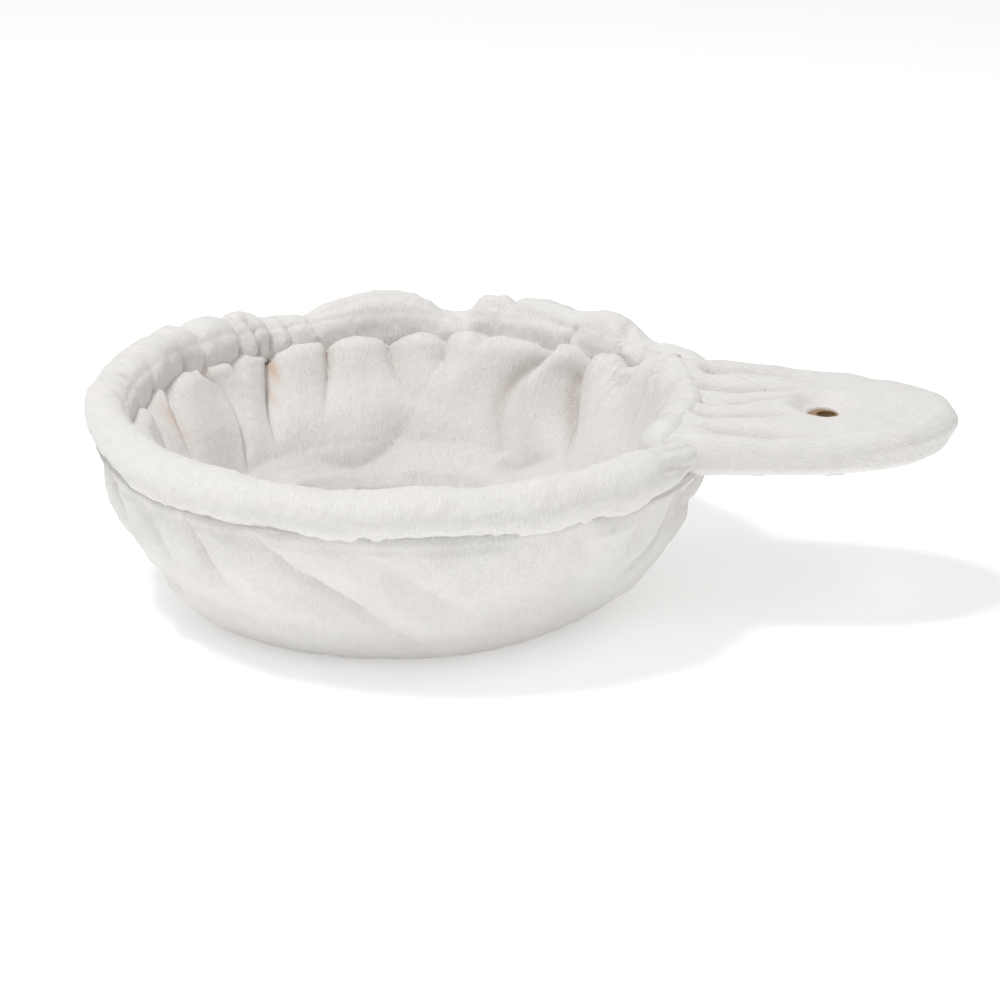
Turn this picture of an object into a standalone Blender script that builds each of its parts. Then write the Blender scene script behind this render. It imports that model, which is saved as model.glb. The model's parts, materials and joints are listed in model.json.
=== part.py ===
"""A cat tree basket: a padded plush bowl bed sewn to a steel hoop, held by a board tongue.

Units are metres, +Z is up and +X runs out along the tongue. Every shape is drawn about the middle
of the hoop, and the empty that all of them hang on puts the origin under the middle of the whole
length, on the surface that the base rests on.
"""

import math

import bmesh
import bpy
from mathutils import Matrix

# Cloth and clearances
FABRIC = 0.002  # plush backing with its pile laid down
GAP = 0.0003  # between pieces that touch
CLEAR = 0.001  # a cutter runs on this far past the face that it opens
WELD = 0.00001
SMOOTH_ANGLE = math.radians(35)

# Steel hoop
HOOP_RADIUS = 0.160
HOOP_HEIGHT = 0.098
ROD_RADIUS = 0.0035
LEG_OFFSET = 0.036  # each straight leg of the rod from the tongue's middle line
LEG_END = 0.245
BEND_RADIUS = 0.018
BEND_SPANS = 5

# Padded rim round the hoop
RIM_RADIUS = 0.0145
RIM_CASING = 0.0025
RIM_END = math.radians(20)  # the rim stops this far each side of the tongue's middle line
RIM_SPANS = 44
ROD_HOLE_RADIUS = 0.0040
TUBE_SIDES = 10

# Bowl
BASE_RADIUS = 0.1050
BASE_SEAM = 0.0007  # the wall's lower edge leans in over this gap as it rises
BASE_SHIFT = -0.011  # the bowl hangs back from the tongue
WALL_SPREAD = 0.0623
WALL_BULGE = 0.2
WALL_TOP = HOOP_HEIGHT - 0.0108
FLOOR_RADIUS = 0.0817
FLOOR_HEIGHT = 0.026
LINING_SPREAD = 0.060
LINING_CURVE = 0.7
LINING_TOP = 0.092
TURNS = 48

# Tongue
ROOT_X = 0.1477  # the end that closes the gap in the hoop
SHOULDER_X = 0.166
NOSE_X = 0.183
NOSE_LENGTH = 0.098
TONGUE_HALF_WIDTH = 0.066
COVER_TOP = HOOP_HEIGHT + 0.0070
COVER_BOTTOM = HOOP_HEIGHT - 0.0096
WRAP = 0.014  # cloth turned in under the board
PANEL_X = 0.172  # at the root the cloth runs under the board to here, clear of the bowl
NOSE_STEP = 10  # degrees
BOLT_X = 0.217
BOLT_HOLE_RADIUS = 0.005
CLOTH_HOLE_RADIUS = 0.007
HOLE_SIDES = 24
BOARD_TOP = COVER_TOP - FABRIC - GAP
BOARD_BOTTOM = COVER_BOTTOM + FABRIC + GAP
BEND_ROOM = (0.029, 0.075)  # the board leaves the rod's bends free between these offsets
BEND_ROOM_X = 0.171
GROOVE_X = 0.165
ROD_CLOTH_GAP = 0.0005

# Rod plates and their screws
PLATE_X = 0.200
PLATE_SIZE = (0.014, 0.034, 0.0008)
SUNK = 0.0001  # each steel face lies this far under the one round it
PLATE_TOP = BOARD_TOP - SUNK
SCREW_SPACING = 0.023
SCREW_HEAD_RADIUS = 0.0032
SCREW_RADIUS = 0.0016
SCREW_HEAD = 0.0018
SCREW_LENGTH = 0.010
SCREW_TIP = 0.001
SCREW_SIDES = 16

# Staples
STAPLE_CROWN = 0.010
STAPLE_LEG = 0.008
STAPLE_WIDTH = 0.0012
STAPLE_THICK = 0.0006
STAPLE_INSET = 0.007
STAPLE_ANGLES = (-65, -38, -12, 12, 38, 65)  # round the nose, in degrees
STAPLE_SIDE_X = 0.181
STAPLE_SIDE_Y = 0.058

HOOP_X = (HOOP_RADIUS + RIM_RADIUS - NOSE_X - NOSE_LENGTH) / 2

COLOURS = {
    # name: colour, roughness, metallic
    "plush": ((0.74, 0.71, 0.68, 1), 0.95, 0),
    "backing": ((0.70, 0.66, 0.60, 1), 0.90, 0),
    "wadding": ((0.85, 0.85, 0.83, 1), 0.95, 0),
    "foam": ((0.80, 0.76, 0.55, 1), 0.90, 0),
    "plywood": ((0.50, 0.33, 0.19, 1), 0.65, 0),
    "steel": ((0.50, 0.51, 0.52, 1), 0.35, 1),
}


# Scene, materials and basic solids


def clear_scene():
    for old in list(bpy.data.objects):
        bpy.data.objects.remove(old, do_unlink=True)


def new_collection(name):
    made = bpy.data.collections.new(name)
    bpy.context.scene.collection.children.link(made)
    return made


def new_material(name, kind):
    colour, roughness, metallic = COLOURS[kind]
    made = bpy.data.materials.new(name)
    made.use_nodes = True
    shader = made.node_tree.nodes["Principled BSDF"]
    shader.inputs["Base Color"].default_value = colour
    shader.inputs["Roughness"].default_value = roughness
    shader.inputs["Metallic"].default_value = metallic
    return made


def place(name, data, kind=None):
    """A piece of the basket when it has a kind of material, and otherwise a cutter."""
    made = bpy.data.objects.new(name, data)
    made.parent = ANCHOR
    if kind:
        PARTS.objects.link(made)
        data.materials.append(new_material(name, kind))
    else:
        CUTTERS.objects.link(made)
        made.hide_render = True
        made.display_type = "WIRE"
    return made


def baked(source, kind=None):
    """The same object as a plain mesh, its caps welded to its sides."""
    bpy.context.view_layer.update()
    seen = source.evaluated_get(bpy.context.evaluated_depsgraph_get())
    mesh = bpy.data.meshes.new_from_object(seen)
    mesh.materials.clear()
    work = bmesh.new()
    work.from_mesh(mesh)
    bmesh.ops.remove_doubles(work, verts=work.verts, dist=WELD)
    bmesh.ops.recalc_face_normals(work, faces=work.faces)
    work.to_mesh(mesh)
    work.free()
    name = source.name
    bpy.data.objects.remove(source)
    made = place(name, mesh, kind)
    made.name = name
    return made


def smooth(piece):
    piece.data.shade_smooth()
    piece.data.set_sharp_from_angle(angle=SMOOTH_ANGLE)


def turned(name, outline, kind, steps=TURNS):
    """A solid turned about +Z from a closed outline of (radius, height) points."""
    mesh = bpy.data.meshes.new(name)
    count = len(outline)
    edges = [(i, (i + 1) % count) for i in range(count)]
    mesh.from_pydata([(radius, 0, height) for radius, height in outline], edges, [])
    piece = place(name, mesh, kind)
    screw = piece.modifiers.new("Screw", "SCREW")
    screw.steps = screw.render_steps = steps
    screw.use_merge_vertices = True
    screw.merge_threshold = WELD
    return piece


def bowl_piece(name, outline, kind):
    """A turned solid leant back, so that the base sits behind the middle of the hoop."""
    piece = baked(turned(name, outline, kind), kind)
    lean = Matrix.Identity(4)
    lean[0][2] = -BASE_SHIFT / HOOP_HEIGHT
    lean[0][3] = BASE_SHIFT
    piece.data.transform(lean)
    smooth(piece)
    return piece


def tube(name, path, radius, kind=None, caps=True):
    curve = bpy.data.curves.new(name, "CURVE")
    curve.dimensions = "3D"
    curve.twist_mode = "Z_UP"
    curve.bevel_depth = radius
    curve.bevel_resolution = TUBE_SIDES // 2 - 2
    curve.use_fill_caps = caps
    spline = curve.splines.new("POLY")
    spline.points.add(len(path) - 1)
    for point, (x, y) in zip(spline.points, path):
        point.co = (x, y, HOOP_HEIGHT, 1)
    return place(name, curve, kind)


def prism(name, outline, low, high, kind=None):
    """A flat outline of (x, y) points made solid between two heights."""
    curve = bpy.data.curves.new(name, "CURVE")
    curve.dimensions = "2D"
    curve.fill_mode = "BOTH"
    curve.extrude = (high - low) / 2
    spline = curve.splines.new("POLY")
    spline.points.add(len(outline) - 1)
    for point, (x, y) in zip(spline.points, outline):
        point.co = (x, y, 0, 1)
    spline.use_cyclic_u = True
    piece = baked(place(name, curve, kind), kind)
    piece.data.transform(Matrix.Translation((0, 0, (low + high) / 2)))
    return piece


def block(name, low, high, turn=0.0, kind=None):
    """A box between two corners, turned about its own middle."""
    work = bmesh.new()
    bmesh.ops.create_cube(work, size=1)
    size = [b - a for a, b in zip(low, high)]
    bmesh.ops.scale(work, vec=size, verts=work.verts)
    mesh = bpy.data.meshes.new(name)
    work.to_mesh(mesh)
    work.free()
    piece = place(name, mesh, kind)
    piece.location = [(a + b) / 2 for a, b in zip(low, high)]
    piece.rotation_euler.z = turn
    return piece


def drill(name, radius, x, low, high):
    """An upright round cutter on the tongue's middle line."""
    work = bmesh.new()
    bmesh.ops.create_cone(
        work, cap_ends=True, segments=HOLE_SIDES, radius1=radius, radius2=radius, depth=high - low
    )
    mesh = bpy.data.meshes.new(name)
    work.to_mesh(mesh)
    work.free()
    cutter = place(name, mesh)
    cutter.location = (x, 0, (low + high) / 2)
    return cutter


def cut(piece, *cutters):
    for cutter in cutters:
        boolean = piece.modifiers.new(cutter.name, "BOOLEAN")
        boolean.operation = "DIFFERENCE"
        boolean.object = cutter


# Outlines


def offset(points, distance, closed=False):
    """The same line moved to its left by distance, with its corners mitred."""
    moved = []
    last = len(points) - 1
    for i, (x, y) in enumerate(points):
        before = points[i - 1] if i > 0 or closed else None
        after = points[(i + 1) % len(points)] if i < last or closed else None
        ways = []
        for start, end in ((before, (x, y)), ((x, y), after)):
            if start and end:
                dx, dy = end[0] - start[0], end[1] - start[1]
                length = math.hypot(dx, dy)
                ways.append((-dy / length, dx / length))
        nx = sum(way[0] for way in ways) / len(ways)
        ny = sum(way[1] for way in ways) / len(ways)
        square = nx * nx + ny * ny
        moved.append((x + distance * nx / square, y + distance * ny / square))
    return moved


def outer_wall():
    """The bowl's outside from top to bottom: a soft round bulge that rolls under to the base."""
    points = []
    steps = 9
    for k in range(steps, -1, -1):
        height = WALL_TOP * (k / steps) ** 2
        rise = height / HOOP_HEIGHT
        bulge = math.sqrt(rise) * (1 + WALL_BULGE * rise * (1 - rise))
        points.append((BASE_RADIUS + BASE_SEAM + WALL_SPREAD * bulge, height))
    return points


def inner_wall(top):
    """The bowl's inside from the floor to the top."""
    points = []
    steps = 8
    for k in range(steps + 1):
        height = FLOOR_HEIGHT + (top - FLOOR_HEIGHT) * (k / steps) ** (1 / LINING_CURVE)
        rise = (height - FLOOR_HEIGHT) / (LINING_TOP - FLOOR_HEIGHT)
        points.append((FLOOR_RADIUS + GAP + LINING_SPREAD * rise**LINING_CURVE, height))
    return points


def shell(points, near, far):
    """A closed outline between two offsets of one line."""
    return offset(points, near) + offset(points, far)[::-1]


def ring_path(start=RIM_END):
    """The hoop's centreline where the rim pads it, the long way round from one rim end to the other."""
    sweep = 2 * math.pi - 2 * start
    angles = [start + sweep * k / RIM_SPANS for k in range(RIM_SPANS + 1)]
    return [(HOOP_RADIUS * math.cos(a), HOOP_RADIUS * math.sin(a)) for a in angles]


def rod_path():
    """Leg, bend, ring, bend, leg: the rod leaves the ring outward and runs on beside the bolt."""
    centre_y = LEG_OFFSET + BEND_RADIUS
    centre_x = math.sqrt((HOOP_RADIUS + BEND_RADIUS) ** 2 - centre_y**2)
    turn = math.pi / 2 - math.atan2(centre_y, centre_x)
    bend = []
    for k in range(BEND_SPANS + 1):
        angle = -math.pi / 2 - turn * k / BEND_SPANS
        bend.append(
            (centre_x + BEND_RADIUS * math.cos(angle), centre_y + BEND_RADIUS * math.sin(angle))
        )
    start = [(LEG_END, LEG_OFFSET)] + bend
    return start + ring_path() + [(x, -y) for x, y in start[::-1]]


def tongue_outline():
    """The covered tongue from above, clockwise: the hoop's gap, the shoulders and the round nose."""
    slope = math.tan(RIM_END)
    clear = GAP / math.cos(RIM_END)
    side = [(ROOT_X, ROOT_X * slope - clear), (SHOULDER_X, SHOULDER_X * slope - clear)]
    nose = []
    for degrees in range(90, -91, -NOSE_STEP):
        t = math.radians(degrees)
        nose.append((NOSE_X + NOSE_LENGTH * math.cos(t), TONGUE_HALF_WIDTH * math.sin(t)))
    return side + nose + [(x, -y) for x, y in side[::-1]]


def tongue_inset(distance):
    """The tongue's outline drawn in by distance; it runs clockwise, so inward is to its right."""
    return offset(tongue_outline(), -distance, closed=True)


def panel_outline(distance):
    """The part of the underside that the turned-in cloth leaves open."""
    start = PANEL_X + distance - WRAP
    return [(max(x, start), y) for x, y in tongue_inset(distance)]


# The hoop and its rim


def make_hoop():
    rod = baked(tube("hoop_rod", rod_path(), ROD_RADIUS, "steel"), "steel")
    smooth(rod)


def make_rim_layer(name, radius, thickness, kind):
    piece = baked(tube(name, ring_path(), radius, kind, caps=False), kind)
    walls = piece.modifiers.new("Solidify", "SOLIDIFY")
    walls.thickness = thickness
    walls.offset = -1
    walls.use_even_offset = True
    smooth(piece)


def make_rim():
    flat = math.cos(math.pi / TUBE_SIDES)  # a tube's flats lie this much nearer its middle
    foam_radius = RIM_RADIUS - RIM_CASING / flat - GAP
    make_rim_layer("rim_casing", RIM_RADIUS, RIM_CASING, "plush")
    make_rim_layer("rim_foam", foam_radius, (foam_radius - ROD_HOLE_RADIUS) * flat, "foam")


# The bowl


def make_bowl():
    past_the_ends = RIM_END - 2 * GAP / HOOP_RADIUS
    rim_room = baked(tube("rim_room", ring_path(past_the_ends), RIM_RADIUS + 2 * GAP))
    bowl_piece("base_outer", disc(BASE_RADIUS, 0, FABRIC), "plush")
    wall = bowl_piece("wall_outer", shell(outer_wall(), 0, -FABRIC), "plush")
    bowl_piece("base_pad", disc(FLOOR_RADIUS, FABRIC + GAP, FLOOR_HEIGHT - FABRIC - GAP), "foam")
    bowl_piece("lining_base", disc(FLOOR_RADIUS, FLOOR_HEIGHT - FABRIC, FLOOR_HEIGHT), "plush")
    bowl_piece("lining_wall", shell(inner_wall(LINING_TOP), -FABRIC, 0), "plush")
    wadding = bowl_piece("wall_wadding", wadding_outline(), "wadding")
    cut(wall, rim_room)
    cut(wadding, rim_room)


def disc(radius, low, high):
    return [(0, high), (radius, high), (radius, low), (0, low)]


def wadding_outline():
    """All that is left between the outside, the lining and the pad."""
    depth = FABRIC + GAP
    outside = offset(outer_wall(), -depth)
    inside = offset(inner_wall(WALL_TOP), -depth)
    under = [(FLOOR_RADIUS + GAP, depth), (FLOOR_RADIUS + GAP, FLOOR_HEIGHT - FABRIC - 2 * GAP)]
    outside[-1] = (BASE_RADIUS, depth)
    return outside + under + inside


# The tongue


def make_board():
    board = prism("tongue_board", tongue_inset(FABRIC + GAP), BOARD_BOTTOM, BOARD_TOP, "plywood")
    for side, way in (("left", 1), ("right", -1)):
        near, far = sorted(way * reach for reach in BEND_ROOM)
        bend_room = block(
            f"bend_room_{side}",
            (ROOT_X - CLEAR, near, BOARD_BOTTOM - CLEAR),
            (BEND_ROOM_X, far, BOARD_TOP + CLEAR),
        )
        middle = way * LEG_OFFSET
        room = ROD_RADIUS + GAP
        groove = block(
            f"groove_{side}",
            (GROOVE_X, middle - room, HOOP_HEIGHT - room),
            (LEG_END + GAP, middle + room, BOARD_TOP + CLEAR),
        )
        half_x, half_y = PLATE_SIZE[0] / 2 + GAP, PLATE_SIZE[1] / 2 + GAP
        recess = block(
            f"plate_room_{side}",
            (PLATE_X - half_x, middle - half_y, PLATE_TOP - PLATE_SIZE[2] - GAP),
            (PLATE_X + half_x, middle + half_y, BOARD_TOP + CLEAR),
        )
        cut(board, bend_room, groove, recess)
    bolt = drill("bolt_room", BOLT_HOLE_RADIUS, BOLT_X, BOARD_BOTTOM - CLEAR, BOARD_TOP + CLEAR)
    cut(board, bolt)
    return board


def screw_outline(extra):
    """Half a countersunk wood screw, grown by extra for the hole that it sits in."""
    seat = PLATE_TOP - SUNK
    top = BOARD_TOP + CLEAR if extra else seat
    head = SCREW_HEAD_RADIUS + extra
    stem = SCREW_RADIUS + extra
    neck = seat - SCREW_HEAD
    tip = seat - SCREW_LENGTH - extra
    outline = [(0, top), (head, top)]
    if extra:
        outline.append((head, seat))
    return outline + [(stem, neck), (stem, tip + SCREW_TIP), (0, tip)]


def turned_at(name, outline, x, y, kind=None):
    piece = baked(turned(name, outline, kind, steps=SCREW_SIDES), kind)
    piece.location = (x, y, 0)
    return piece


def make_plates(board):
    count = 0
    for side, way in (("left", 1), ("right", -1)):
        middle = way * LEG_OFFSET
        half_x, half_y = PLATE_SIZE[0] / 2, PLATE_SIZE[1] / 2
        plate = block(
            f"rod_plate_{side}",
            (PLATE_X - half_x, middle - half_y, PLATE_TOP - PLATE_SIZE[2]),
            (PLATE_X + half_x, middle + half_y, PLATE_TOP),
            kind="steel",
        )
        for step in (-1, 1):
            count += 1
            y = middle + step * SCREW_SPACING / 2
            screw = turned_at(f"plate_screw_{count}", screw_outline(0), PLATE_X, y, "steel")
            smooth(screw)
            room = turned_at(f"screw_room_{count}", screw_outline(GAP), PLATE_X, y)
            cut(plate, room)
            cut(board, room)


def make_cover():
    cover = prism("tongue_cover", tongue_inset(0), COVER_BOTTOM, COVER_TOP, "plush")
    hollow = prism(
        "cover_hollow", tongue_inset(FABRIC), COVER_BOTTOM + FABRIC, COVER_TOP - FABRIC
    )
    window = prism("cover_window", panel_outline(WRAP), COVER_BOTTOM - CLEAR, BOARD_BOTTOM)
    rod_room = baked(tube("rod_room", rod_path(), ROD_RADIUS + ROD_CLOTH_GAP))
    bolt = drill("cloth_hole_top", CLOTH_HOLE_RADIUS, BOLT_X, BOARD_TOP, COVER_TOP + CLEAR)
    cut(cover, hollow, window, rod_room, bolt)
    return cover


def make_under_panel():
    outline = panel_outline(WRAP + GAP)
    panel = prism(
        "tongue_under_panel", outline, COVER_BOTTOM, COVER_BOTTOM + FABRIC, "backing"
    )
    bolt = drill(
        "cloth_hole_under", CLOTH_HOLE_RADIUS, BOLT_X, COVER_BOTTOM - CLEAR, BOARD_BOTTOM
    )
    cut(panel, bolt)


def staple_places():
    """(x, y, direction of the crown) round the cloth's turned-in edge."""
    length, width = NOSE_LENGTH - STAPLE_INSET, TONGUE_HALF_WIDTH - STAPLE_INSET
    places = []
    for degrees in STAPLE_ANGLES:
        t = math.radians(degrees)
        along = math.atan2(width * math.cos(t), -length * math.sin(t))
        places.append((NOSE_X + length * math.cos(t), width * math.sin(t), along))
    for way in (1, -1):
        places.append((STAPLE_SIDE_X, way * STAPLE_SIDE_Y, 0.0))
    return places


def staple_outline():
    """A staple seen from its side: the crown below, two legs up."""
    half, inner = STAPLE_CROWN / 2, STAPLE_CROWN / 2 - STAPLE_THICK
    return [
        (-half, 0),
        (half, 0),
        (half, STAPLE_LEG),
        (inner, STAPLE_LEG),
        (inner, STAPLE_THICK),
        (-inner, STAPLE_THICK),
        (-inner, STAPLE_LEG),
        (-half, STAPLE_LEG),
    ]


def make_staples(board, cover):
    low = COVER_BOTTOM - GAP - STAPLE_THICK
    stand_up = Matrix.Rotation(math.pi / 2, 4, "X")
    for number, (x, y, along) in enumerate(staple_places(), start=1):
        piece = prism(
            f"staple_{number}", staple_outline(), -STAPLE_WIDTH / 2, STAPLE_WIDTH / 2, "steel"
        )
        piece.data.transform(stand_up)
        piece.location = (x, y, low)
        piece.rotation_euler.z = along
        for leg, way in (("a", -1), ("b", 1)):
            reach = way * (STAPLE_CROWN - STAPLE_THICK) / 2
            leg_x, leg_y = x + reach * math.cos(along), y + reach * math.sin(along)
            half_x, half_y = STAPLE_THICK / 2 + GAP, STAPLE_WIDTH / 2 + GAP
            room = block(
                f"staple_room_{number}{leg}",
                (leg_x - half_x, leg_y - half_y, low),
                (leg_x + half_x, leg_y + half_y, low + STAPLE_LEG + GAP),
                turn=along,
            )
            cut(cover, room)
            cut(board, room)


clear_scene()
PARTS = new_collection("cat_tree_basket")
CUTTERS = new_collection("cutters")
ANCHOR = bpy.data.objects.new("hoop_centre", None)
ANCHOR.location = (HOOP_X, 0, 0)
PARTS.objects.link(ANCHOR)

make_hoop()
make_rim()
make_bowl()
tongue_board = make_board()
make_plates(tongue_board)
tongue_cover = make_cover()
make_under_panel()
make_staples(tongue_board, tongue_cover)
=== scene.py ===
"""Looks of the cat tree basket: its plush cloth, sewn seams and folds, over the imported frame."""
import json
import math

import bmesh
import bpy
import numpy as np
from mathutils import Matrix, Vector


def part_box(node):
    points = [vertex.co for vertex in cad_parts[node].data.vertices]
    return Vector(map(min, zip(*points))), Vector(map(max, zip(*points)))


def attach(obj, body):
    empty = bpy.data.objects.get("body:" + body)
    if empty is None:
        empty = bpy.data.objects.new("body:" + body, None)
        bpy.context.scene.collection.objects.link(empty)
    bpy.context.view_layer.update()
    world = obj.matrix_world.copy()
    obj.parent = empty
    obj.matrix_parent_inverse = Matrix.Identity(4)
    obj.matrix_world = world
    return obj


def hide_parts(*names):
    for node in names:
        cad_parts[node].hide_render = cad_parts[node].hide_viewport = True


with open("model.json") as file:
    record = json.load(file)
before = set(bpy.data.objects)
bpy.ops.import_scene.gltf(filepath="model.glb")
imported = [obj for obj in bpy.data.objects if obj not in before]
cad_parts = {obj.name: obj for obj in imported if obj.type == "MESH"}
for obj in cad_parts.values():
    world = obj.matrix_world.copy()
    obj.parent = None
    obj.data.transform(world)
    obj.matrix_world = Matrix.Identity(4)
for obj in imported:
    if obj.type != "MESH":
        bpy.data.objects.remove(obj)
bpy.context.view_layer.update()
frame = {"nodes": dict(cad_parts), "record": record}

MM = 0.001
SEED = 11

# Sizes that the frame gives
RIM_LOW, RIM_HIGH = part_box("rim_casing")
ROD_LOW, ROD_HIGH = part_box("hoop_rod")
BASE_LOW, BASE_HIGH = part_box("base_outer")
TONGUE_LOW, TONGUE_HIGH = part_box("tongue_cover")
WALL_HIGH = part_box("wall_outer")[1]
LINING_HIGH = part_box("lining_wall")[1]
FLOOR_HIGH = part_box("lining_base")[1]
BOARD_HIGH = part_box("tongue_board")[1]

HOOP_Z = (RIM_LOW.z + RIM_HIGH.z) / 2
HOOP_R = ROD_HIGH.y - (ROD_HIGH.z - ROD_LOW.z) / 2
TUBE_R = RIM_HIGH.y - HOOP_R
HOOP_X = RIM_LOW.x + RIM_HIGH.y
BASE_R = BASE_HIGH.y
BASE_X = (BASE_LOW.x + BASE_HIGH.x) / 2
FLOOR_R, FLOOR_Z = FLOOR_HIGH.y, FLOOR_HIGH.z
LINING_R, LINING_Z = LINING_HIGH.y, LINING_HIGH.z
WALL_R, WALL_Z = WALL_HIGH.y, WALL_HIGH.z
CLOTH = 1.6 * MM
HOLE_LOW, HOLE_HIGH = next(
    opening["box_m"]
    for opening in frame["record"]["physics"]["openings"]
    if opening["name"] == "bolt_hole"
)
HOLE_X = (HOLE_LOW[0] + HOLE_HIGH[0]) / 2


# Camera, floor and light


def add_object(name, data):
    made = bpy.data.objects.new(name, data)
    bpy.context.scene.collection.objects.link(made)
    return made


def make_camera():
    azimuth, elevation, distance, lens = 7.5, 17.7, 1.5, 101.9
    aim_right, aim_down = 0.0456, 0.0482
    a, e = math.radians(azimuth), math.radians(elevation)
    back = Vector((math.sin(a) * math.cos(e), -math.cos(a) * math.cos(e), math.sin(e)))
    right = Vector((math.cos(a), math.sin(a), 0))
    up = back.cross(right)
    target = Vector((HOOP_X, 0, HOOP_Z))
    data = bpy.data.cameras.new("camera")
    data.lens = lens
    data.clip_end = 50
    camera = add_object("camera", data)
    camera.location = target + back * distance
    aim = target + right * aim_right - up * aim_down
    camera.rotation_euler = (aim - camera.location).to_track_quat("-Z", "Y").to_euler()
    bpy.context.scene.camera = camera


def area_light(name, place, aim, size, power):
    data = bpy.data.lights.new(name, "AREA")
    data.shape = "DISK"
    data.size = size
    data.energy = power
    light = add_object(name, data)
    light.location = place
    light.rotation_euler = (Vector(aim) - Vector(place)).to_track_quat("-Z", "Y").to_euler()


def make_studio():
    world = bpy.data.worlds.new("studio")
    bpy.context.scene.world = world
    world.use_nodes = True
    ground = world.node_tree.nodes["Background"]
    ground.inputs["Color"].default_value = (1, 1, 1, 1)
    ground.inputs["Strength"].default_value = 0.58
    bpy.context.scene.view_settings.view_transform = "Standard"
    middle = (HOOP_X, 0, 0.05)
    area_light("key", (-0.72, -0.48, 2.3), middle, size=0.6, power=28.5)
    area_light("fill", (1.2, -0.6, 2.2), middle, size=1.2, power=4)
    half = 6
    corners = [(-half, -half, 0), (half, -half, 0), (half, half, 0), (-half, half, 0)]
    mesh = bpy.data.meshes.new("floor")
    mesh.from_pydata(corners, [], [(0, 1, 2, 3)])
    floor = add_object("floor", mesh)
    paper = bpy.data.materials.new("floor_paper")
    paper.use_nodes = True
    shader = paper.node_tree.nodes["Principled BSDF"]
    shader.inputs["Base Color"].default_value = (0.97, 0.97, 0.97, 1)
    shader.inputs["Roughness"].default_value = 0.9
    shader.inputs["Emission Color"].default_value = (1, 1, 1, 1)
    shader.inputs["Emission Strength"].default_value = 0.24
    mesh.materials.append(paper)


# Numbers on grids


def ease(t):
    t = np.clip(t, 0, 1)
    return t * t * (3 - 2 * t)


def ripple(points, size, seed, waves=20):
    """Smooth noise of about unit height whose bumps are size across."""
    rng = np.random.default_rng(seed)
    total = np.zeros(points.shape[:-1])
    for _ in range(waves):
        way = rng.normal(size=3)
        way *= math.pi / size * rng.uniform(0.6, 1.4) / np.linalg.norm(way)
        total += np.sin(points @ way + rng.uniform(0, 2 * math.pi))
    return total * math.sqrt(2 / waves)


def path_points(path, spans=4):
    """A smooth line through the path's points (Catmull-Rom)."""
    p = np.array(path, float)
    p = np.vstack([2 * p[0] - p[1], p, 2 * p[-1] - p[-2]])
    out = []
    for i in range(1, len(p) - 2):
        for t in np.arange(spans) / spans:
            a = -p[i - 1] + 3 * p[i] - 3 * p[i + 1] + p[i + 2]
            b = 2 * p[i - 1] - 5 * p[i] + 4 * p[i + 1] - p[i + 2]
            c = -p[i - 1] + p[i + 1]
            out.append(p[i] + (c * t + b * t**2 + a * t**3) / 2)
    out.append(p[-2])
    return np.array(out)


def nearest(u, v, scale, path):
    """Distance from each grid point to a path, how far along it that is, and on which side."""
    best = np.full(u.shape, 1e9)
    along = np.zeros(u.shape)
    side = np.ones(u.shape)
    points = path_points(path)
    last = len(points) - 1
    for k in range(last):
        (a0, a1), (b0, b1) = points[k], points[k + 1]
        ax = ((u - a0 + 180) % 360 - 180) * scale
        ay = v - a1
        bx = (b0 - a0) * scale
        by = b1 - a1
        t = np.clip((ax * bx + ay * by) / (bx * bx + by * by + 1e-12), 0, 1)
        dx, dy = ax - t * bx, ay - t * by
        d = np.hypot(dx, dy)
        closer = d < best
        best = np.where(closer, d, best)
        along = np.where(closer, (k + t) / last, along)
        side = np.where(closer, np.sign(bx * dy - by * dx), side)
    return best, along, side


# How far a pleat's upper edge stands up and slides over its other side, as shares of its depth
LIP_HEIGHT = 0.22
PLEAT_SLIDE = 0.3


def fold_field(u, v, scale, folds):
    """What folds do to the cloth: its height, its slide across them, and painted shade along their
    valleys.

    A fold is (path, depth, reach, soft, lean, start, end), with its sizes in mm. The path is in the
    grid's own u and v, and takes its degrees as written, so it does not step over 360. The cloth
    bulges like a pillow from the valley out to reach, and soft rounds the valley's bottom. A
    negative depth is a ridge. lean makes one side the edge of a pleat that lies over the other,
    and start and end say how much of the depth is left at the two ends. Where valleys meet,
    their depths are summed as cubes, so the deeper one wins.
    """
    valleys, height, slide, crease_shade = (np.zeros(u.shape) for _ in range(4))
    for path, depth, reach, soft, lean, start, end in folds:
        depth, reach, soft = depth * MM, reach * MM, soft * MM
        d, along, side = nearest(u, v, scale, path)
        strength = (start + (1 - start) * ease(along / 0.25)) * (
            end + (1 - end) * ease((1 - along) / 0.5)
        )
        if depth < 0:
            height -= depth * strength * np.exp(-((d / reach) ** 2))
            continue
        q = np.clip((np.hypot(d, soft) - soft) / reach, 0, 1)
        bowl = 1 - np.sqrt(1 - (1 - q) ** 2)
        open_side = ease(0.5 + d * side * np.sign(lean) / (1.8 * MM)) if lean else 1
        share = 1 - abs(lean) * (1 - open_side)
        valleys += (depth * strength * bowl * share) ** 3
        lip = abs(lean) * (1 - open_side) * np.exp(-((d / (0.35 * reach)) ** 2))
        height += LIP_HEIGHT * depth * strength * lip
        near_lip = np.exp(-d / (0.2 * reach))
        slide += PLEAT_SLIDE * depth * strength * lean * (1 - open_side) * near_lip
        # painted shade along the bottom of each valley, darker for deeper folds
        thin = np.exp(-d / (1.2 * MM + soft))
        crease_shade = np.maximum(crease_shade, depth / (10 * MM) * strength * thin * share)
    return height - np.cbrt(valleys), slide, crease_shade


def spots(u, v, scale, places):
    """Soft spots: each is u, v, its size across and down in mm, and how strong it is."""
    total = np.zeros(u.shape)
    for at_u, at_v, across, down, strength in places:
        x = ((u - at_u + 180) % 360 - 180) * scale / (across * MM)
        total = np.maximum(total, strength * np.exp(-(x**2) - ((v - at_v) / (down * MM)) ** 2))
    return total


# Meshes


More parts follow.
